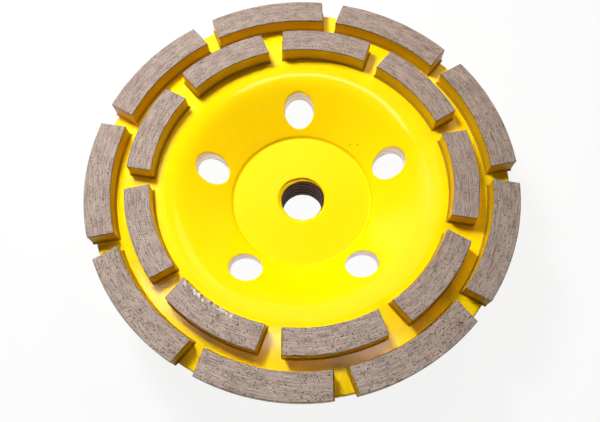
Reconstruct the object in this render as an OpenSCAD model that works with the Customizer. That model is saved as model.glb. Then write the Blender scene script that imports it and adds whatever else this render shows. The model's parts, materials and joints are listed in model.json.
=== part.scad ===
// Double row cup wheel for an angle grinder
//
// A pressed and turned steel cup with a threaded hub carries two rings of
// diamond segments on its flat rim. The wheel lies on the back of its hub,
// with the segments up. The origin is the centre of the hub's back face and
// +Z points along the axis towards the grinding face. All sizes are in mm.

/* [Wheel] */
// Diameter over the outer ring of segments
wheel_d = 115; // [100:1:180]
// Height from the hub's back face to the grinding face
wheel_h = 28.6; // [26:0.2:40]
// Depth from the grinding face down to the flat floor of the cup
cup_depth = 16.6; // [14:0.2:20]

/* [Cup] */
// Thickness of the steel wall
wall_t = 3.8; // [2.5:0.1:5]
// How far the outer segments reach past the rim's edge
rim_overhang = 0.9; // [0:0.1:2]
// Diameter of the flat floor of the cup
floor_d = 40; // [34:0.5:46]
// Height of the short steep step around the floor
floor_step_h = 0.9; // [0.5:0.1:2]
// Radius of the bend where the wall turns into the flat rim, on the open side
rim_bend_r = 14; // [6:0.5:16]
// Width of the flat rim left inside the inner segments
rim_ledge = 0.3; // [0.1:0.1:2]
// Radius on the rim's two outer edges
rim_edge_r = 0.5; // [0.2:0.1:1]

/* [Hub] */
// Diameter of the turned boss on the back
boss_d = 30; // [24:0.5:33]
// Radius where the boss meets the back of the cup
boss_fillet_r = 1.5; // [0.5:0.1:2.5]
// Bevel on the boss's back edge
boss_bevel = 0.8; // [0.3:0.1:1.5]
// Nominal diameter of the spindle thread
thread_d = 14; // [12:1:16]
// Pitch of the spindle thread
thread_pitch = 2; // [1:0.25:2]
// Bevel at both mouths of the thread, measured out from its bore
thread_bevel = 1; // [0.6:0.1:1.5]

/* [Air holes] */
// Number of holes through the cup's wall
air_holes = 5; // [3:1:8]
// Diameter of an air hole
air_hole_d = 8.8; // [5:0.1:10]
// Diameter of the circle that the holes' centres lie on
air_hole_pcd = 53.3; // [50:0.1:56]
// Angle of the first hole from the +X axis
air_hole_start = 32; // [0:1:72]

/* [Segments] */
// Height of a segment above the rim
seg_h = 4.8; // [3:0.1:8]
// Width of an outer segment across the ring
outer_seg_w = 6.9; // [5:0.1:8]
// Width of an inner segment across the ring
inner_seg_w = 6.7; // [5:0.1:8]
// Gap between the two rings
ring_gap = 3.6; // [2:0.1:5]
// Length of an outer segment, straight across its two outer corners
outer_seg_len = 33.4; // [24:0.2:36]
// Length of an inner segment, straight across its two outer corners
inner_seg_len = 26; // [18:0.2:28]
// Slant of a segment's ends from its middle line, narrower towards the axis
end_slant = 9.5; // [0:0.5:15]
// Angle of the first outer segment's middle from the +X axis
outer_start = 33; // [0:1:40]
// Angle of the first inner segment's middle from the +X axis
inner_start = 13; // [0:1:40]

/* [Hidden] */
// Each ring has this many segments, evenly spaced
seg_count = 9;

$fn = 96;
seg_step = 360 / seg_count;
// Chords in one rounded stretch of the cup's section
arc_steps = 8;
// Overlap that keeps a cut clean
cut = 1;

paint = [1.0, 0.86, 0.0];
ground_matrix = [0.72, 0.68, 0.65];

// Heights above the hub's back face
floor_z = wheel_h - cup_depth;
rim_z = wheel_h - seg_h;
back_z = floor_z - wall_t;

// Radii from the axis
rim_r = wheel_d / 2 - rim_overhang;
floor_r = floor_d / 2;
boss_r = boss_d / 2;
thread_bore_r = thread_d / 2 - thread_pitch / 2;
thread_mouth_r = thread_bore_r + thread_bevel;
outer_seg_in_r = wheel_d / 2 - outer_seg_w;
inner_seg_out_r = outer_seg_in_r - ring_gap;
inner_seg_in_r = inner_seg_out_r - inner_seg_w;

// The step around the floor is steeper than the wall, and both its corners
// are rounded by the press.
step_angle = 62;
step_foot_r = 0.6;
step_top_r = 1.6;
step_run = floor_step_h / tan(step_angle);

// The flat rim starts just inside the inner segments, and the wall's straight
// part fills what the bend leaves down to the step. On a small wheel the
// bend gets tighter, so that the wall is never steeper than steepest_wall.
floor_edge = [floor_r, floor_z];
step_top = [floor_r + step_run, floor_z + floor_step_h];
flat_r = inner_seg_in_r - rim_ledge;
wall_run = flat_r - step_top[0];
wall_rise = rim_z - step_top[1];
steepest_wall = 60;
steepest_half = tan(steepest_wall / 2);
tightest_r = (wall_rise + (2 * wall_run * steepest_half - wall_rise) / pow(steepest_half, 2)) / 2;
bend_r = min(rim_bend_r, tightest_r);
bend_room = sqrt(pow(wall_run, 2) - (2 * bend_r - wall_rise) * wall_rise);
wall_angle = 2 * atan(wall_rise / (wall_run + bend_room));
wall_top = [flat_r - bend_r * tan(wall_angle / 2), rim_z];

// The back follows the open side at the wall's thickness, also in the bend.
back_shift = wall_t * tan(wall_angle / 2);
back_wall_top = [wall_top[0] + back_shift, rim_z - wall_t];
back_wall_foot = [back_wall_top[0] - (back_wall_top[1] - back_z) / tan(wall_angle), back_z];
back_foot_bend_r = 3;

function unit(v) = v / norm(v);

// Arc of radius r that rounds corner b of the path a, b, c
function rounded(a, b, c, r, steps = arc_steps) =
    let (
        to_a = unit(a - b),
        to_c = unit(c - b),
        half = acos(to_a * to_c) / 2,
        middle = b + unit(to_a + to_c) * r / sin(half),
        start = b + to_a * r / tan(half) - middle,
        end = b + to_c * r / tan(half) - middle,
        turn = acos(start * end / (r * r)),
        side = start[0] * end[1] - start[1] * end[0] > 0 ? 1 : -1
    )
    [for (i = [0:steps])
        let (t = side * turn * i / steps)
        middle + [start[0] * cos(t) - start[1] * sin(t), start[0] * sin(t) + start[1] * cos(t)]];

// Half section of the steel cup: bore side first, then the open side out to
// the rim, and back along the underside to the boss
function cup_section() = concat(
    [[thread_bore_r, thread_bevel], [thread_bore_r, floor_z - thread_bevel], [thread_mouth_r, floor_z]],
    rounded([0, floor_z], floor_edge, step_top, step_foot_r, 4),
    rounded(floor_edge, step_top, wall_top, step_top_r, 4),
    rounded(step_top, wall_top, [rim_r, rim_z], bend_r),
    rounded(wall_top, [rim_r, rim_z], [rim_r, rim_z - wall_t], rim_edge_r, 4),
    rounded([rim_r, rim_z], [rim_r, rim_z - wall_t], back_wall_top, rim_edge_r, 4),
    rounded([rim_r, rim_z - wall_t], back_wall_top, back_wall_foot, bend_r - wall_t),
    rounded(back_wall_top, back_wall_foot, [boss_r, back_z], back_foot_bend_r),
    rounded(back_wall_foot, [boss_r, back_z], [boss_r, 0], boss_fillet_r, 4),
    [[boss_r, boss_bevel], [boss_r - boss_bevel, 0], [thread_mouth_r, 0]]
);

// One air hole, cut parallel to the axis through the sloping wall
module air_hole() {
    translate([air_hole_pcd / 2, 0, -cut])
        cylinder(d = air_hole_d, h = wheel_h + cut);
}

module cup_body() {
    color(paint)
        difference() {
            rotate_extrude($fn = 180)
                polygon(cup_section());
            for (i = [0:air_holes - 1])
                rotate(air_hole_start + i * 360 / air_holes)
                    air_hole();
        }
}

// Outline of a segment that lies across the +X axis: the ring between two
// radii, cut by two slanting ends that leave the outer corners len apart
module segment_outline(in_r, out_r, len) {
    corner_x = sqrt(pow(out_r, 2) - pow(len / 2, 2));
    near_x = corner_x - 2 * (out_r - in_r);
    far_x = out_r + cut;
    function end_y(x) = len / 2 + (x - corner_x) * tan(end_slant);
    intersection() {
        difference() {
            circle(r = out_r, $fn = 360);
            circle(r = in_r, $fn = 360);
        }
        polygon([
            [near_x, -end_y(near_x)],
            [far_x, -end_y(far_x)],
            [far_x, end_y(far_x)],
            [near_x, end_y(near_x)]
        ]);
    }
}

// A segment standing on the rim plane
module segment(in_r, out_r, len) {
    color(ground_matrix)
        translate([0, 0, rim_z])
            linear_extrude(seg_h)
                segment_outline(in_r, out_r, len);
}

module outer_segment(i) {
    rotate(outer_start + (i - 1) * seg_step)
        segment(outer_seg_in_r, wheel_d / 2, outer_seg_len);
}

module inner_segment(i) {
    rotate(inner_start + (i - 1) * seg_step)
        segment(inner_seg_in_r, inner_seg_out_r, inner_seg_len);
}

cup_body();
for (i = [1:seg_count])
    outer_segment(i);
for (i = [1:seg_count])
    inner_segment(i);
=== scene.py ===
# %% [markdown]
# # A double row cup wheel
# The real object is a dished steel cup, painted yellow, with two rings of
# diamond segments brazed on its rim. This lesson dresses the exact solids
# of that wheel with finely made meshes and worn finishes. It starts from
# the solids, because they fix every size and place. All lengths are in
# metres, so a size in millimetres is written as a number times `mm`.

# %% Load the solids
import json
import math

import bmesh
import bpy
import numpy as np
from mathutils import Matrix, Vector, noise


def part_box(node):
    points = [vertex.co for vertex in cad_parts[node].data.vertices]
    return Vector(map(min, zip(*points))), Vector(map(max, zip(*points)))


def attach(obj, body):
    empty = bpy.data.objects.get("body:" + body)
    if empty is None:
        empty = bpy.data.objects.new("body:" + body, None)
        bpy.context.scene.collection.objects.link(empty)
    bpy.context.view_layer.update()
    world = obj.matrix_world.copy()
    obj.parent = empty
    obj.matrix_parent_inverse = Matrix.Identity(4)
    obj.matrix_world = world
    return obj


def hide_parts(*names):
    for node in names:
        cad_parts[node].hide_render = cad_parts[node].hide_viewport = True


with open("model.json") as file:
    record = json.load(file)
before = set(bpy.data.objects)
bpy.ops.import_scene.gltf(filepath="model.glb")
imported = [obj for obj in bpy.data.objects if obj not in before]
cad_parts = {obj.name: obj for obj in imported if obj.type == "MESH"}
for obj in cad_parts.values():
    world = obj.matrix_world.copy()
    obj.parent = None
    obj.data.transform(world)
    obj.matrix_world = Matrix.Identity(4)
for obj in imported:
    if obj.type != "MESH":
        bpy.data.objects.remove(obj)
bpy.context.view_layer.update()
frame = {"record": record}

mm = 0.001

# %% [markdown]
# ## Sizes
# What the solids can tell is read from them: the rim, the segments' tops
# and the thread. The few sizes below are the cup's own section, as a maker
# would dimension it on a drawing. A wheel is a turned part, so one half
# section says almost everything about it.

# %% Read and name the sizes
cup_low, cup_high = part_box("cup_body")
outer_low, outer_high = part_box("outer_segment_1")
mounts = {mount["name"]: mount for mount in frame["record"]["mounts"]}

seg_h = outer_high.z - outer_low.z
rim_z = cup_high.z
wheel_h = outer_high.z
crest_r = mounts["spindle_thread"]["dims"]["r_mm"] * mm

wheel_r = 57.5 * mm
rim_r = wheel_r - 0.9 * mm
wall_t = 3.8 * mm
floor_r = 20 * mm
floor_z = wheel_h - 16.6 * mm
step_h = 0.9 * mm
step_angle = math.radians(62)
boss_r = 15 * mm
boss_bevel = 0.8 * mm
mouth_r = crest_r + 1.0 * mm
outer_w = 6.9 * mm
inner_w = 6.7 * mm
ring_gap = 3.6 * mm
outer_in_r = wheel_r - outer_w
inner_out_r = outer_in_r - ring_gap
inner_in_r = inner_out_r - inner_w
print("rim height", round(rim_z / mm, 2), "cup floor", round(floor_z / mm, 2), "mm")

# %% [markdown]
# ## Camera
# The photograph was taken from close by, so near parts look clearly larger
# than far ones. A camera's place can be worked out from such a picture: the
# corners of all the segments lie on known circles, and only one camera puts
# them where they are. This one stands above the wheel and a little in front
# of it, and is turned slightly about its own line of sight.

# %% Place the camera
camera_place = Vector((15.6, -63.9, 168.9)) * mm
camera_target = Vector((1.9, -10.1, 28.6)) * mm
camera_roll = math.radians(-1.97)

camera_data = bpy.data.cameras.new("camera")
camera_data.sensor_width = 36
camera_data.lens = 35.0
camera_data.clip_start = 5 * mm
camera = bpy.data.objects.new("camera", camera_data)
bpy.context.scene.collection.objects.link(camera)
camera.location = camera_place
look = (camera_target - camera_place).to_track_quat("-Z", "Y").to_matrix()
camera.rotation_euler = (look @ Matrix.Rotation(camera_roll, 3, "Z")).to_euler()
bpy.context.scene.camera = camera
print("camera distance", round((camera_target - camera_place).length / mm, 1), "mm")

# %% [markdown]
# ## Floor and background
# The wheel lies on the back of its hub on a white table. Such a table could
# be lit until it clips, but then the paint would burn out too. Instead the
# table looks nearly white to the camera, and keeps a part of its real
# shading, so the wheel's soft shadow still shows. Through the air holes
# the photograph shows plain white, as if light came through the table
# there, so under the wheel less of the shading is kept.

# %% Lay the table
def white_to_the_eye(tree, lit_socket, share, kind="ShaderNodeEmission"):
    """Mixes a lit surface with plain white for rays that end in the eye, a gloss or a glass."""
    path = tree.nodes.new("ShaderNodeLightPath")
    seen = tree.nodes.new("ShaderNodeMath")
    seen.operation = "MAXIMUM"
    tree.links.new(path.outputs["Is Camera Ray"], seen.inputs[0])
    tree.links.new(path.outputs["Is Glossy Ray"], seen.inputs[1])
    either = tree.nodes.new("ShaderNodeMath")
    either.operation = "MAXIMUM"
    tree.links.new(seen.outputs[0], either.inputs[0])
    tree.links.new(path.outputs["Is Transmission Ray"], either.inputs[1])
    part = tree.nodes.new("ShaderNodeMath")
    part.operation = "MULTIPLY"
    tree.links.new(either.outputs[0], part.inputs[0])
    if isinstance(share, float):
        part.inputs[1].default_value = share
    else:
        tree.links.new(share, part.inputs[1])
    white = tree.nodes.new(kind)
    white.inputs["Color"].default_value = (1, 1, 1, 1)
    white.inputs["Strength"].default_value = 1.0
    mix = tree.nodes.new("ShaderNodeMixShader")
    tree.links.new(part.outputs[0], mix.inputs[0])
    tree.links.new(lit_socket, mix.inputs[1])
    tree.links.new(white.outputs[0], mix.inputs[2])
    return mix.outputs[0]


table_size = 3.0
table_whiteness = 0.88
glow_whiteness = 0.96
glow_r = 42 * mm

bpy.ops.mesh.primitive_plane_add(size=table_size, location=(0, 0, 0))
table = bpy.context.object
table.name = "table"
table_finish = bpy.data.materials.new("white_table")
table_finish.use_nodes = True
table_tree = table_finish.node_tree
table_shader = table_tree.nodes["Principled BSDF"]
table_shader.inputs["Base Color"].default_value = (0.82, 0.82, 0.83, 1)
table_shader.inputs["Roughness"].default_value = 0.8
table_shader.inputs["Specular IOR Level"].default_value = 0.1
table_place = table_tree.nodes.new("ShaderNodeTexCoord")
from_middle = table_tree.nodes.new("ShaderNodeVectorMath")
from_middle.operation = "LENGTH"
table_tree.links.new(table_place.outputs["Object"], from_middle.inputs[0])
glow = table_tree.nodes.new("ShaderNodeMapRange")
glow.interpolation_type = "SMOOTHSTEP"
table_tree.links.new(from_middle.outputs["Value"], glow.inputs["Value"])
glow.inputs["From Min"].default_value = glow_r
glow.inputs["From Max"].default_value = 1.3 * glow_r
glow.inputs["To Min"].default_value = glow_whiteness
glow.inputs["To Max"].default_value = table_whiteness
table_seen = white_to_the_eye(table_tree, table_shader.outputs[0], glow.outputs["Result"])
table_tree.links.new(table_seen, table_tree.nodes["Material Output"].inputs["Surface"])
table.data.materials.append(table_finish)
print("table:", table_size, "m square")

# %% [markdown]
# ## Light
# Three things in the photograph show where its lamps were. The shadows
# beside the segments fall to the lower right and are about as long as a
# segment is high, so the main lamp stands upper left, at about 55 degrees.
# It is close, because the near right side is darker than the far left. A
# pale line runs along the bend of the cup, so a long thin light hung right
# above it. And the ground tops are brightest at the left and at the back,
# where they mirror a large pale panel. Lamps can be told to show up only
# in glosses, or never in them, which lets each one do its own job. The
# fill from behind and the room are warm, as the shaded paint is orange.

# %% Hang the lamps
def soft_lamp(name, direction, distance, width, depth, power, colour=(1, 1, 1)):
    """A flat lamp that looks at the middle of the wheel. Its width runs from left to right."""
    data = bpy.data.lights.new(name, "AREA")
    data.shape = "RECTANGLE"
    data.size = width
    data.size_y = depth
    data.energy = power
    data.color = colour
    lamp = bpy.data.objects.new(name, data)
    bpy.context.scene.collection.objects.link(lamp)
    away = Vector(direction).normalized()
    lamp.location = Vector((0, 0, rim_z)) + away * distance
    across = (Vector((1, 0, 0)) - away * away.x).normalized()
    lamp.rotation_euler = Matrix((across, away.cross(across), away)).transposed().to_euler()
    return lamp


room_light = 0.05
warm = (1.0, 0.84, 0.66)

key = soft_lamp("lamp_left", (-0.44, 0.34, 0.83), 0.255, 0.065, 0.065, 0.83)
key.visible_glossy = False
soft_lamp("lamp_behind", (0.12, 0.66, 0.74), 0.45, 0.16, 0.12, 0.56, warm)
sheen = soft_lamp("lamp_sheen", (-0.50, 0.58, 0.64), 0.50, 0.50, 0.42, 2.8)
sheen.visible_diffuse = False
glint = soft_lamp("lamp_glint", (-0.13, 0.02, 0.98), 0.42, 0.32, 0.024, 1.7)
glint.visible_diffuse = False

world = bpy.data.worlds.new("room")
world.use_nodes = True
bpy.context.scene.world = world
room_tree = world.node_tree
room = room_tree.nodes["Background"]
room.inputs["Color"].default_value = warm + (1,)
room.inputs["Strength"].default_value = room_light
room_seen = white_to_the_eye(room_tree, room.outputs[0], 1.0, "ShaderNodeBackground")
room_tree.links.new(room_seen, room_tree.nodes["World Output"].inputs["Surface"])
bpy.context.scene.view_settings.view_transform = "Standard"
print("lamps:", [light.name for light in bpy.data.lights])

# %% [markdown]
# ## Writing a finish as sums
# A finish is a small calculation on the surface: how worn a spot is decides
# its colour and its gloss. Nodes can be joined by hand, but sums are easier
# to read. `Field` wraps one socket, so that `1 - worn` or `paint * 0.8`
# adds the Math nodes by itself. Colours go through a Mix node, because a
# Math node would turn them grey.

# %% A socket that understands sums
class Field:
    """A value that changes over a surface: one output socket of a finish's nodes."""

    def __init__(self, tree, socket=None):
        self.tree = tree
        self.socket = socket

    def node(self, kind, settings=None, inputs=None, out=0):
        """Adds a node: its settings first, then the values or links of its sockets."""
        made = self.tree.nodes.new(kind)
        for name, value in (settings or {}).items():
            if name == "stops":
                for stop, (place, tone) in zip(made.color_ramp.elements, value):
                    stop.position = place
                    stop.color = (tone, tone, tone, 1)
            else:
                setattr(made, name, value)
        for name, value in (inputs or {}).items():
            if isinstance(value, Field):
                self.tree.links.new(value.socket, made.inputs[name])
            else:
                made.inputs[name].default_value = value
        return Field(self.tree, made.outputs[out])

    def sum(self, operation, *values):
        return self.node("ShaderNodeMath", {"operation": operation}, dict(enumerate(values)))

    def __add__(self, other):
        return self.sum("ADD", self, other)

    __radd__ = __add__

    def __sub__(self, other):
        return self.sum("SUBTRACT", self, other)

    def __rsub__(self, other):
        return self.sum("SUBTRACT", other, self)

    def __mul__(self, other):
        return self.sum("MULTIPLY", self, other)

    __rmul__ = __mul__

    def larger(self, other):
        return self.sum("MAXIMUM", self, other)

    def rise(self, low, high):
        """Goes smoothly from 0 where this value is `low` to 1 where it is `high`."""
        limits = {"Value": self, "From Min": low, "From Max": high}
        return self.node("ShaderNodeMapRange", {"interpolation_type": "SMOOTHSTEP"}, limits)

    def blend(self, below, above):
        """The colour `below` where this value is 0, and `above` where it is 1."""
        colours = {0: self, 6: below, 7: above}
        return self.node("ShaderNodeMix", {"data_type": "RGBA"}, colours, out=2)

    def stretched(self, along, across, up):
        """This vector with its three parts multiplied by three numbers."""
        parts = {0: self, 1: (along, across, up)}
        return self.node("ShaderNodeVectorMath", {"operation": "MULTIPLY"}, parts)

    def distance_to(self, place):
        """Distance from this vector to a fixed point."""
        parts = {0: self, 1: tuple(place)}
        return self.node("ShaderNodeVectorMath", {"operation": "DISTANCE"}, parts, out=1)

    def cloud(self, scale, detail=2.0, roughness=0.5):
        """Soft noise at this vector, from 0 to 1."""
        inputs = {"Vector": self, "Scale": scale, "Detail": detail, "Roughness": roughness}
        return self.node("ShaderNodeTexNoise", {}, inputs)

    def specks(self, scale, jitter=1.0):
        """Distance from this vector to the nearest of a scatter of points."""
        inputs = {"Vector": self, "Scale": scale, "Randomness": jitter}
        return self.node("ShaderNodeTexVoronoi", {"feature": "F1"}, inputs)

    def relief(self, depth, under=None):
        """A bump of this height, laid over another bump if one is given."""
        inputs = {"Height": self, "Distance": depth, "Strength": 1.0}
        if under is not None:
            inputs["Normal"] = under
        return self.node("ShaderNodeBump", {}, inputs)


def finish(name):
    """A new material, its shader and a Field that adds nodes to it."""
    material = bpy.data.materials.new(name)
    material.use_nodes = True
    tree = material.node_tree
    return material, tree.nodes["Principled BSDF"], Field(tree)


def lay_on(shader, **values):
    """Sets or links the shader's sockets, named with _ for a space."""
    for name, value in values.items():
        socket = shader.inputs[name.replace("_", " ")]
        if isinstance(value, Field):
            value.tree.links.new(value.socket, socket)
        else:
            socket.default_value = value


print("finishes are written as sums from here on")

# %% [markdown]
# ## Yellow paint
# The cup is sprayed with one coat of yellow enamel. It isn't quite smooth:
# sprayed paint dries with a faint orange peel, and handling leaves soft
# cloudy dullness in its gloss. A little grey dust settles on it. The base
# colour is a pure warm yellow. The orange in the shaded parts comes by
# itself, because there the light has bounced off yellow more than once.

# %% Mix the yellow paint
paint_yellow = (1.0, 0.70, 0.0, 1)
paint_dusty = (0.92, 0.68, 0.04, 1)
# Brown for painted shade on the flat rim around the segments' feet.
rim_shade_brown = (0.34, 0.19, 0.02, 1)
mark_brown = (0.16, 0.09, 0.01, 1)
paint_marks = (Vector((10.5, 19.4, 14.1)) * mm, Vector((12.7, 19.4, 14.9)) * mm)

yellow_paint, paint_shader, paint = finish("yellow_paint")
spot = paint.node("ShaderNodeTexCoord", out=3)
clouds = spot.cloud(45, detail=4.0)
peel = spot.cloud(1600, detail=1.0)
dust = spot.cloud(240, detail=6.0, roughness=0.65).rise(0.56, 0.80)
on_rim = spot.stretched(1, 1, 0).distance_to((0, 0, 0)).rise(39.5 * mm, 41.0 * mm)
height = paint.node("ShaderNodeSeparateXYZ", {}, {0: spot}, out=2)
on_rim = on_rim * height.rise(rim_z - 0.6 * mm, rim_z - 0.1 * mm)
# Painted shade: cloudy brown patches darken the flat rim between and around the segments' feet.
painted_rim_shade = on_rim * spot.cloud(170, detail=5.0, roughness=0.6).rise(0.38, 0.72)
coat = (dust * 0.35).blend(paint_yellow, paint_dusty)
coat = (painted_rim_shade * 0.18).blend(coat, rim_shade_brown)
for place in paint_marks:
    mark = 1 - spot.distance_to(place).rise(0.12 * mm, 0.30 * mm)
    coat = (mark * 0.85).blend(coat, mark_brown)
lay_on(
    paint_shader,
    Base_Color=coat,
    Roughness=0.10 + clouds * 0.07 + dust * 0.12,
    Normal=peel.relief(0.010 * mm),
    Specular_IOR_Level=0.06,
)
print("paint nodes:", len(yellow_paint.node_tree.nodes))

# %% [markdown]
# ## Bare steel
# The thread is cut and the air holes are drilled after painting, so their
# walls are bare. The thread is dark and oily. The holes are bright with
# fine rings from the drill, and a breath of paint reaches over their lips.

# %% Mix the two bare steels
def bare_steel(name, colour, roughness, shine):
    """Machined steel with fine tool rings around the axis of its hole."""
    material, shader, field = finish(name)
    place = field.node("ShaderNodeTexCoord", out=3)
    rings = place.stretched(60, 60, 3600).cloud(1.0, detail=3.0)
    stain = place.cloud(420, detail=4.0).rise(0.45, 0.75)
    darker = tuple(channel * 0.62 for channel in colour) + (1,)
    ringed = rings.rise(0.42, 0.58).blend(darker, colour + (1,))
    lay_on(
        shader,
        Base_Color=(stain * 0.5).blend(ringed, darker),
        Metallic=shine,
        Specular_IOR_Level=0.15,
        Roughness=roughness + rings * 0.12,
        Normal=rings.relief(0.02 * mm),
    )
    return material


thread_steel = bare_steel("thread_steel", (0.100, 0.040, 0.026), 0.34, 0.55)
hole_steel = bare_steel("hole_steel", (0.98, 0.84, 0.76), 0.42, 0.85)
print("steels:", thread_steel.name, hole_steel.name)

# %% [markdown]
# ## Turning the cup
# A lathe makes a round part by following a half section. The mesh is made
# the same way: points of the section are swept round the axis in even
# columns. Two places need more care. The five holes are cut parallel to the
# axis through a sloping wall, so a small square of the wall around each one
# is drawn anew, with rows of points that turn from the square into the
# hole's circle. And the thread is a helix, so there the radius depends on
# the angle as well as on the height. A boolean cut could make both, but it
# leaves long thin faces that catch the light badly.

# %% A skin to build on
columns = 240
first_hole = 32
turn = np.radians(first_hole + np.arange(columns) * 360 / columns)


class Skin:
    """Points and four-sided faces that become one mesh."""

    def __init__(self):
        self.points = []
        self.faces = []
        self.finishes = []

    def row(self, x, y, z):
        """Adds points and returns their numbers."""
        x, y, z = np.broadcast_arrays(x, y, z)
        first = len(self.points)
        self.points.extend(zip(x.tolist(), y.tolist(), z.tolist()))
        return np.arange(first, len(self.points))

    def ring(self, radius, height):
        """Adds a row around the axis. The radius may change from column to column."""
        return self.row(radius * np.cos(turn), radius * np.sin(turn), height)

    def strip(self, one, other, finish_number=0, closed=True):
        """Joins two rows with faces."""
        count = len(one) if closed else len(one) - 1
        for i in range(count):
            j = (i + 1) % len(one)
            self.faces.append((one[i], one[j], other[j], other[i]))
            self.finishes.append(finish_number)

    def build(self, name, materials):
        """Makes the object, drops loose points and turns every face outwards."""
        mesh = bpy.data.meshes.new(name)
        mesh.from_pydata(self.points, [], [tuple(int(i) for i in face) for face in self.faces])
        mesh.polygons.foreach_set("material_index", self.finishes)
        work = bmesh.new()
        work.from_mesh(mesh)
        bmesh.ops.delete(work, geom=[v for v in work.verts if not v.link_faces], context="VERTS")
        bmesh.ops.recalc_face_normals(work, faces=work.faces)
        for face in work.faces:
            face.smooth = True
        work.to_mesh(mesh)
        work.free()
        for material in materials:
            mesh.materials.append(material)
        made = bpy.data.objects.new(name, mesh)
        bpy.context.scene.collection.objects.link(made)
        return made


print("columns round the axis:", columns)

# %% [markdown]
# The corners of the section are drawn sharp first and then rounded, as on a
# drawing. `rounded` gives the arc that touches both legs of a corner.

# %% The cup's half section
def rounded(before, corner, after, radius, steps):
    """Points of the arc that rounds one corner of a path."""
    before, corner, after = Vector(before), Vector(corner), Vector(after)
    to_before = (before - corner).normalized()
    to_after = (after - corner).normalized()
    half = to_before.angle(to_after) / 2
    middle = corner + (to_before + to_after).normalized() * radius / math.sin(half)
    start = corner + to_before * radius / math.tan(half) - middle
    sweep = start.angle_signed(corner + to_after * radius / math.tan(half) - middle)
    arc = []
    for i in range(steps + 1):
        arc.append(middle + Matrix.Rotation(-sweep * i / steps, 2) @ start)
    return arc


floor_edge = (floor_r, floor_z)
step_top = (floor_r + step_h / math.tan(step_angle), floor_z + step_h)
bend_r = 14 * mm
flat_r = inner_in_r - 0.3 * mm
run = flat_r - step_top[0]
rise = rim_z - step_top[1]
wall_angle = 2 * math.atan(rise / (run + math.sqrt(run**2 - (2 * bend_r - rise) * rise)))
wall_top = (flat_r - bend_r * math.tan(wall_angle / 2), rim_z)
rim_corner = (rim_r, rim_z)
under_corner = (rim_r, rim_z - wall_t)
back_z = floor_z - wall_t
back_top = (wall_top[0] + wall_t * math.tan(wall_angle / 2), rim_z - wall_t)
back_foot = (back_top[0] - (back_top[1] - back_z) / math.tan(wall_angle), back_z)
boss_root = (boss_r, back_z)

edge_r = 0.5 * mm
wall_in_r = 21.4 * mm
wall_out_r = 32.3 * mm


def front_z(radius):
    """Height of the wall's open side at a radius, on its straight part and on its bend."""
    straight = step_top[1] + (radius - step_top[0]) * math.tan(wall_angle)
    bent = rim_z - bend_r + np.sqrt(np.maximum(bend_r**2 - (flat_r - radius) ** 2, 0))
    return np.where(radius < flat_r - bend_r * math.sin(wall_angle), straight, bent)


def under_z(radius):
    """Height of the wall's back at a radius."""
    return back_foot[1] + (radius - back_foot[0]) * math.tan(wall_angle)


def bend(radius, steps):
    """Points of the bend around the flat rim's start, from the wall out to the rim."""
    middle = Vector((flat_r, rim_z - bend_r))
    leans = [wall_angle * (1 - i / steps) for i in range(steps + 1)]
    arc = [middle + Vector((-math.sin(lean), math.cos(lean))) * radius for lean in leans]
    return [point for point in arc if point.x > wall_out_r + 0.2 * mm]


floor_to_wall = (
    [Vector((mouth_r, floor_z)), Vector((mouth_r + 0.3 * mm, floor_z))]
    + rounded((0, floor_z), floor_edge, step_top, 0.6 * mm, 6)
    + rounded(floor_edge, step_top, wall_top, 1.6 * mm, 6)
)
wall_to_back = (
    bend(bend_r, 24)
    + rounded(wall_top, rim_corner, under_corner, edge_r, 5)
    + rounded(rim_corner, under_corner, back_top, edge_r, 5)
    + bend(bend_r - wall_t, 20)[::-1]
)
back_to_mouth = (
    rounded(back_top, back_foot, boss_root, 3 * mm, 8)
    + rounded(back_foot, boss_root, (boss_r, 0), 1.5 * mm, 6)
    + [Vector((boss_r, boss_bevel)), Vector((boss_r - boss_bevel, 0)), Vector((mouth_r, 0))]
)
print("wall slope", round(math.degrees(wall_angle), 1), "degrees")

# %% [markdown]
# ## Air holes
# Around each hole the wall's rows and columns give way to a patch. Its
# outer points are the wall's own, so nothing shows at the join. Its lips
# are rounded a little by the paint, and its wall goes straight through.

# %% Wall bands with holes in them
hole_count = 5
hole_r = 4.4 * mm
hole_circle_r = 26.65 * mm
hole_lip = 0.35 * mm
band_rows = 12
patch_half = 8
patch_shares = (0.3, 0.62, 0.88, 1.0)
lip_steps = 4


def wall_band(skin, height_at):
    """Lays the wall between two radii, and returns its edge rows and each hole's square."""
    radii = np.linspace(wall_in_r, wall_out_r, band_rows + 1)
    grid = [skin.ring(radius, height_at(radius)) for radius in radii]
    taken = set()
    squares = []
    for hole in range(hole_count):
        middle = hole * columns // hole_count
        around = [(middle + i) % columns for i in range(-patch_half, patch_half + 1)]
        taken.update(around[:-1])
        square = [grid[0][c] for c in around]
        square += [grid[r][around[-1]] for r in range(1, band_rows + 1)]
        square += [grid[-1][c] for c in reversed(around[:-1])]
        square += [grid[r][around[0]] for r in range(band_rows - 1, 0, -1)]
        squares.append(square)
    for low, high in zip(grid, grid[1:]):
        for c in range(columns):
            if c not in taken:
                n = (c + 1) % columns
                skin.faces.append((low[c], low[n], high[n], high[c]))
                skin.finishes.append(0)
    return grid[0], grid[-1], squares


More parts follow.
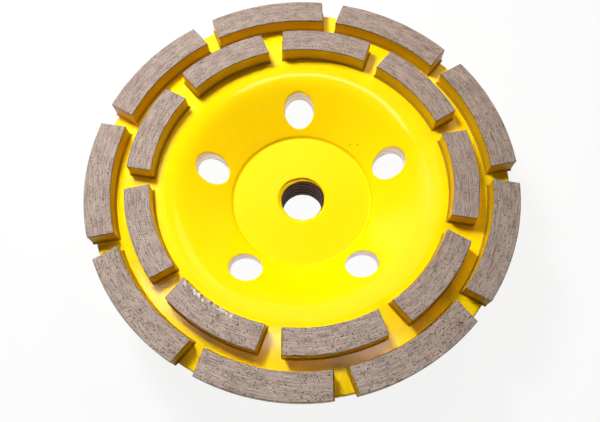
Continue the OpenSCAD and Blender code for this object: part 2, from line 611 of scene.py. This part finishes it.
def hole_edge(skin, square, hole, height_at, inwards):
    """Closes a square down to the hole's wall, with a rounded lip, and returns the last row."""
    angle = math.radians(first_hole + hole * 360 / hole_count)
    middle = np.array([hole_circle_r * math.cos(angle), hole_circle_r * math.sin(angle)])
    outline = np.array([skin.points[i][:2] for i in square])
    heading = outline - middle
    heading /= np.linalg.norm(heading, axis=1)[:, None]
    before = np.array(square)
    for share in patch_shares:
        flat = outline + (middle + heading * (hole_r + hole_lip) - outline) * share
        row = skin.row(flat[:, 0], flat[:, 1], height_at(np.hypot(flat[:, 0], flat[:, 1])))
        skin.strip(before, row)
        before = row
    for step in range(1, lip_steps + 1):
        bend = math.radians(90 * step / lip_steps)
        flat = middle + heading * (hole_r + hole_lip * (1 - math.sin(bend)))
        drop = inwards * hole_lip * (1 - math.cos(bend))
        height = height_at(np.hypot(flat[:, 0], flat[:, 1])) + drop
        row = skin.row(flat[:, 0], flat[:, 1], height)
        skin.strip(before, row)
        before = row
    return before


print("holes:", hole_count, "of", round(2 * hole_r / mm, 2), "mm")

# %% [markdown]
# ## The spindle thread
# The hub screws on a spindle with a 14 mm thread of 2 mm pitch. A thread's
# section is a row of blunt 60 degree teeth. Unrolled, the bore's wall is a
# sheet on which each groove is a slanting line, so the distance from that
# line gives the radius. A bevel at each mouth is cut last, and wins
# wherever it is wider than the thread.

# %% Cut the thread
thread_pitch = 2 * mm
thread_root_r = 7.0 * mm
root_flat = thread_pitch / 8
bore_rows = 96


def thread_radius(height):
    """Radius of the bore's wall in every column at one height."""
    phase = (height / thread_pitch - turn / (2 * math.pi)) % 1
    off_groove = np.abs(phase - 0.5) * thread_pitch
    flank = thread_root_r - (off_groove - root_flat / 2) * math.tan(math.radians(60))
    tooth = np.clip(flank, crest_r, thread_root_r)
    bevel = mouth_r - min(height, floor_z - height)
    return np.maximum(tooth, bevel)


cup_skin = Skin()
profile = [cup_skin.ring(point.x, point.y) for point in floor_to_wall]
front_low, front_high, front_squares = wall_band(cup_skin, front_z)
profile.append(front_low)
rim_rows = [front_high] + [cup_skin.ring(point.x, point.y) for point in wall_to_back]
under_low, under_high, under_squares = wall_band(cup_skin, under_z)
rim_rows.append(under_high)
back_rows = [under_low] + [cup_skin.ring(point.x, point.y) for point in back_to_mouth]
for rows in (profile, rim_rows, back_rows):
    for one, other in zip(rows, rows[1:]):
        cup_skin.strip(one, other)

STEEL, THREAD = 1, 2
for hole in range(hole_count):
    top = hole_edge(cup_skin, front_squares[hole], hole, front_z, -1)
    bottom = hole_edge(cup_skin, under_squares[hole], hole, under_z, 1)
    cup_skin.strip(top, bottom, STEEL)

before = back_rows[-1]
for i in range(1, bore_rows):
    height = floor_z * i / bore_rows
    row = cup_skin.ring(thread_radius(height), height)
    mouth = min(height, floor_z - height) < mouth_r - crest_r
    cup_skin.strip(before, row, 0 if mouth and height > floor_z / 2 else THREAD)
    before = row
cup_skin.strip(before, profile[0])

painted_cup = cup_skin.build("painted_cup", [yellow_paint, hole_steel, thread_steel])
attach(painted_cup, "root")
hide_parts("cup_body")
print("cup faces:", len(painted_cup.data.polygons))

# %% [markdown]
# ## Diamond segments
# A segment is a block of metal powder and diamond grit, pressed hot and
# brazed to the rim. Its top is ground open, so grit and pits show, and its
# edges crumble a little where grit breaks out. Its sides carry the cup's
# yellow paint. The block is drawn as a fine grid over a box: along, across
# and up. Corners are rounded by pulling points on to a small ball, broken
# edges by pushing them on to a slanting plane, and only then is the box bent
# into its ring. Bending last keeps every earlier step simple.

# %% [markdown]
# The finish needs to know where on the block it is, even after the bending.
# So each point keeps its place in the straight block, in millimetres.

# %% Mix the segment's finish
rust_spots = (
    (Vector((46.0, -30.4, 28.6)) * mm, 1.9 * mm),
    (Vector((39.0, -40.0, 28.6)) * mm, 1.5 * mm),
    (Vector((-19.9, -51.7, 28.6)) * mm, 1.8 * mm),
)
ground_light = (0.235, 0.186, 0.158, 1)
ground_dark = (0.092, 0.066, 0.054, 1)
fresh_metal = (0.42, 0.37, 0.34, 1)
grit_dark = (0.030, 0.020, 0.017, 1)
# The segments' side paint is darker and more orange than the cup's yellow: painted shade.
shaded_side_paint = (0.68, 0.44, 0.002, 1)
# Brown for painted shade at the foot of the segments.
foot_shade_brown = (0.20, 0.09, 0.005, 1)
copper = (0.80, 0.42, 0.22, 1)
bare_copper = (0.86, 0.52, 0.33, 1)
rust = (0.10, 0.024, 0.018, 1)

diamond_matrix, matrix_shader, matrix = finish("diamond_matrix")
block = matrix.node("ShaderNodeAttribute", {"attribute_name": "block_place"}, out=1)
facing = matrix.node("ShaderNodeAttribute", {"attribute_name": "paint_left"}, out=2)
scores = block.stretched(0.24, 4.2, 4.2).cloud(1.0, detail=4.0, roughness=0.70)
patches = block.stretched(0.30, 0.5, 0.5).cloud(1.0, detail=3.0)
grain = block.cloud(3.6, detail=4.0, roughness=0.75)
where_grit = block.cloud(0.5, detail=2.0).rise(0.36, 0.58)
grit = (1 - block.specks(1.5).rise(0.12, 0.28)) * where_grit
pits = block.cloud(2.4, detail=3.0, roughness=0.65).rise(0.615, 0.68)
speckle = grit.larger(pits * 0.85)
rusty = block.cloud(0.16, detail=3.0).rise(0.66, 0.78)
fresh = matrix.node("ShaderNodeAttribute", {"attribute_name": "fresh_break"}, out=2)
bare = matrix.node("ShaderNodeAttribute", {"attribute_name": "bare_end"}, out=2)

tone = (scores * 0.66 + patches * 0.16 + grain * 0.32).rise(0.41, 0.69)
ground = tone.blend(ground_dark, ground_light)
for place, size in rust_spots:
    away = matrix.node("ShaderNodeTexCoord", out=3).distance_to(place)
    rusty = rusty.larger(1 - (away + (grain - 0.42) * 9 * mm).rise(0.2 * size, size))
ground = (rusty * 0.75).blend(ground, rust)
ground = speckle.blend(ground, grit_dark)
crack = block.cloud(2.6, detail=4.0, roughness=0.7).rise(0.50, 0.60)
ground = fresh.rise(0.05, 0.3).blend(ground, crack.blend(fresh_metal, grit_dark))
worn = block.cloud(1.3, detail=4.0).rise(0.72, 0.78)
above_rim = matrix.node("ShaderNodeSeparateXYZ", {}, {0: block}, out=2)
# Painted shade: the segment sides darken to brown towards the rim they stand on.
painted_foot_shade = 1 - (above_rim + (grain - 0.5) * 0.8).rise(0.2, 1.5)
side = worn.blend(shaded_side_paint, copper)
side = (painted_foot_shade * 0.65).blend(side, foot_shade_brown)
side = (bare * (0.6 + grain * 0.6)).blend(side, bare_copper)
painted = (facing + (grain - 0.5) * 0.5).rise(0.42, 0.58)
ground_relief = (scores * 0.7 + grain * 0.5 - speckle * 1.2).relief(0.05 * mm)
lay_on(
    matrix_shader,
    Base_Color=painted.blend(ground, side),
    Metallic=(1 - painted) * 0.60,
    Roughness=0.56 - painted * 0.14 + speckle * 0.2,
    Normal=ground_relief,
    Specular_IOR_Level=0.2,
)
print("segment finish nodes:", len(diamond_matrix.node_tree.nodes))

# %% Shape one segment
corner_r = 0.18 * mm
grid_step = 0.28 * mm
edge_lines = np.array([0, 0.05, 0.11, 0.18, 0.3, 0.5]) * mm


def grid_lines(length):
    """Places of grid lines from 0 to a length, close together near both ends."""
    inner = np.arange(edge_lines[-1], length - edge_lines[-1], grid_step)
    return np.concatenate([edge_lines[:-1], inner, (length - edge_lines)[::-1]])


def box_grid(along, across, up):
    """Points and faces of a box's five open sides and its flat base."""
    last = (len(along) - 1, len(across) - 1, len(up) - 1)
    numbers = {}
    points = []
    faces = []

    def point(i, j, k):
        if (i, j, k) not in numbers:
            numbers[i, j, k] = len(points)
            points.append((along[i], across[j], up[k]))
        return numbers[i, j, k]

    for i in range(last[0]):
        for j in range(last[1]):
            corners = ((i, j), (i + 1, j), (i + 1, j + 1), (i, j + 1))
            faces.append([point(a, b, last[2]) for a, b in corners])
    for k in range(last[2]):
        for j in (0, last[1]):
            for i in range(last[0]):
                corners = ((i, k), (i + 1, k), (i + 1, k + 1), (i, k + 1))
                faces.append([point(a, j, c) for a, c in corners])
        for i in (0, last[0]):
            for j in range(last[1]):
                corners = ((j, k), (j + 1, k), (j + 1, k + 1), (j, k + 1))
                faces.append([point(i, b, c) for b, c in corners])
    base = [point(i, 0, 0) for i in range(last[0])]
    base += [point(last[0], j, 0) for j in range(last[1])]
    base += [point(i, last[1], 0) for i in range(last[0], 0, -1)]
    base += [point(0, j, 0) for j in range(last[1], 0, -1)]
    faces.append(base)
    return np.array(points), faces


def rough(place, scale, seed):
    """Noise between about 0 and 1 at a place on a block."""
    return 0.5 + 0.5 * noise.noise(Vector(place) * scale + Vector((seed * 7.3, seed * 3.1, seed)))


def break_edges(points, size, seed, chipped_part):
    """Crumbles the upper edges: each point there moves on to a slanting broken plane.

    A share of the inner edge, from its start, may be knocked off more deeply.
    """
    length, width, height = size
    broken = np.zeros(len(points))
    for n, (a, t, c) in enumerate(points):
        below_top = height - c
        for axis, gap, sign in ((1, t, 1), (1, width - t, -1), (0, a, 1), (0, length - a, -1)):
            reach = gap + below_top
            if reach > 1.6 * mm:
                continue
            edge_place = (a / mm, t / mm, 0)
            chip = max(0, rough(edge_place, 0.55, seed) - 0.72) * 2.2
            knocked = sign > 0 and axis == 1 and 0.4 * mm < a < chipped_part * length
            if knocked:
                chip = 0.25 + max(0, rough(edge_place, 1.1, seed) - 0.35) * 2.4
            crumble = 0.03 + 0.11 * rough(edge_place, 2.6, seed + 40)
            bite = (chip + crumble) * mm
            push = (bite - reach) / 2
            if push > 0:
                points[n, axis] += sign * push
                points[n, 2] -= push
                broken[n] = max(broken[n], knocked * min(1, chip / 0.4))
    return points, broken


def round_corners(points, size, radius):
    """Pulls the points near upright and top edges on to a small ball."""
    length, width, height = size
    core = np.stack([
        np.clip(points[:, 0], radius, length - radius),
        np.clip(points[:, 1], radius, width - radius),
        np.minimum(points[:, 2], height - radius),
    ], axis=1)
    out = points - core
    reach = np.linalg.norm(out, axis=1)
    near = reach > 1e-9
    points[near] = core[near] + out[near] / reach[near, None] * radius
    return points


def spread_foot(points, straight, size, out_r):
    """Spreads the foot a little, where braze has run out under the block."""
    length, width, height = size
    spread = 0.45 * mm * np.clip(1 - points[:, 2] / (0.6 * mm), 0, 1) ** 2
    points[:, 1] -= np.where(straight[:, 1] <= 0, spread, 0)
    points[:, 0] -= np.where(straight[:, 0] <= 0, spread, 0)
    points[:, 0] += np.where(straight[:, 0] >= length, spread, 0)
    if out_r < rim_r:
        points[:, 1] += np.where(straight[:, 1] >= width, spread, 0)
    return points


def half_angle(radius, out_r, span, slant):
    """Half the angle that a segment covers at a radius, between its slanting ends."""
    corner_y = span / 2
    corner_x = math.sqrt(out_r**2 - corner_y**2)
    offset = (corner_y - corner_x * math.tan(slant)) * math.cos(slant)
    return slant + np.arcsin(offset / radius)


end_slant = math.radians(9.5)
chipped_parts = {"inner_segment_7": 0.66}
bare_ended = ("outer_segment_4",)


def make_segment(node, in_r, out_r, span, middle, seed):
    """One worn segment that stands for the plain solid of the same place."""
    mean_r = (in_r + out_r) / 2
    length = 2 * mean_r * half_angle(mean_r, out_r, span, end_slant)
    size = (length, out_r - in_r, seg_h)
    points, faces = box_grid(*(grid_lines(side) for side in size))
    straight = points.copy()
    points = round_corners(points, size, corner_r)
    points, broken = break_edges(points, size, seed, chipped_parts.get(node, 0))
    points = spread_foot(points, straight, size, out_r)
    radius = in_r + points[:, 1]
    share = 2 * points[:, 0] / length - 1
    angle = middle + share * half_angle(radius, out_r, span, end_slant)
    bent = np.stack([radius * np.cos(angle), radius * np.sin(angle), rim_z + points[:, 2]], axis=1)
    mesh = bpy.data.meshes.new("worn_" + node)
    mesh.from_pydata(bent.tolist(), [], faces)
    mesh.polygons.foreach_set("use_smooth", [True] * (len(faces) - 1) + [False])
    place = mesh.attributes.new("block_place", "FLOAT_VECTOR", "POINT")
    shifted = straight / mm + np.array([seed * 53.0, seed * 11.0, 0])
    place.data.foreach_set("vector", shifted.ravel())
    lost = (points[:, 2] > seg_h - 0.32 * mm) | (straight[:, 2] >= seg_h) | (broken > 0.2)
    left = mesh.attributes.new("paint_left", "FLOAT", "POINT")
    left.data.foreach_set("value", np.where(lost, 0.0, 1.0))
    fresh_break = mesh.attributes.new("fresh_break", "FLOAT", "POINT")
    fresh_break.data.foreach_set("value", broken)
    bare_end = mesh.attributes.new("bare_end", "FLOAT", "POINT")
    at_end = straight[:, 0] > length - 0.1 * mm
    bare_end.data.foreach_set("value", np.where(at_end & (node in bare_ended), 1.0, 0.0))
    work = bmesh.new()
    work.from_mesh(mesh)
    bmesh.ops.recalc_face_normals(work, faces=work.faces)
    work.to_mesh(mesh)
    work.free()
    mesh.materials.append(diamond_matrix)
    segment = bpy.data.objects.new("worn_" + node, mesh)
    bpy.context.scene.collection.objects.link(segment)
    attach(segment, "root")
    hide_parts(node)
    return segment


# %% Set both rings
seg_count = 9
rings = (
    ("outer", outer_in_r, wheel_r, 33.4 * mm, 33),
    ("inner", inner_in_r, inner_out_r, 26.0 * mm, 13),
)

face_total = 0
for ring_number, (ring_name, in_r, out_r, span, start) in enumerate(rings):
    for i in range(seg_count):
        middle = math.radians(start + i * 360 / seg_count)
        seed = ring_number * seg_count + i + 1
        made = make_segment(f"{ring_name}_segment_{i + 1}", in_r, out_r, span, middle, seed)
        face_total += len(made.data.polygons)
print("segments:", 2 * seg_count, "with", face_total, "faces")
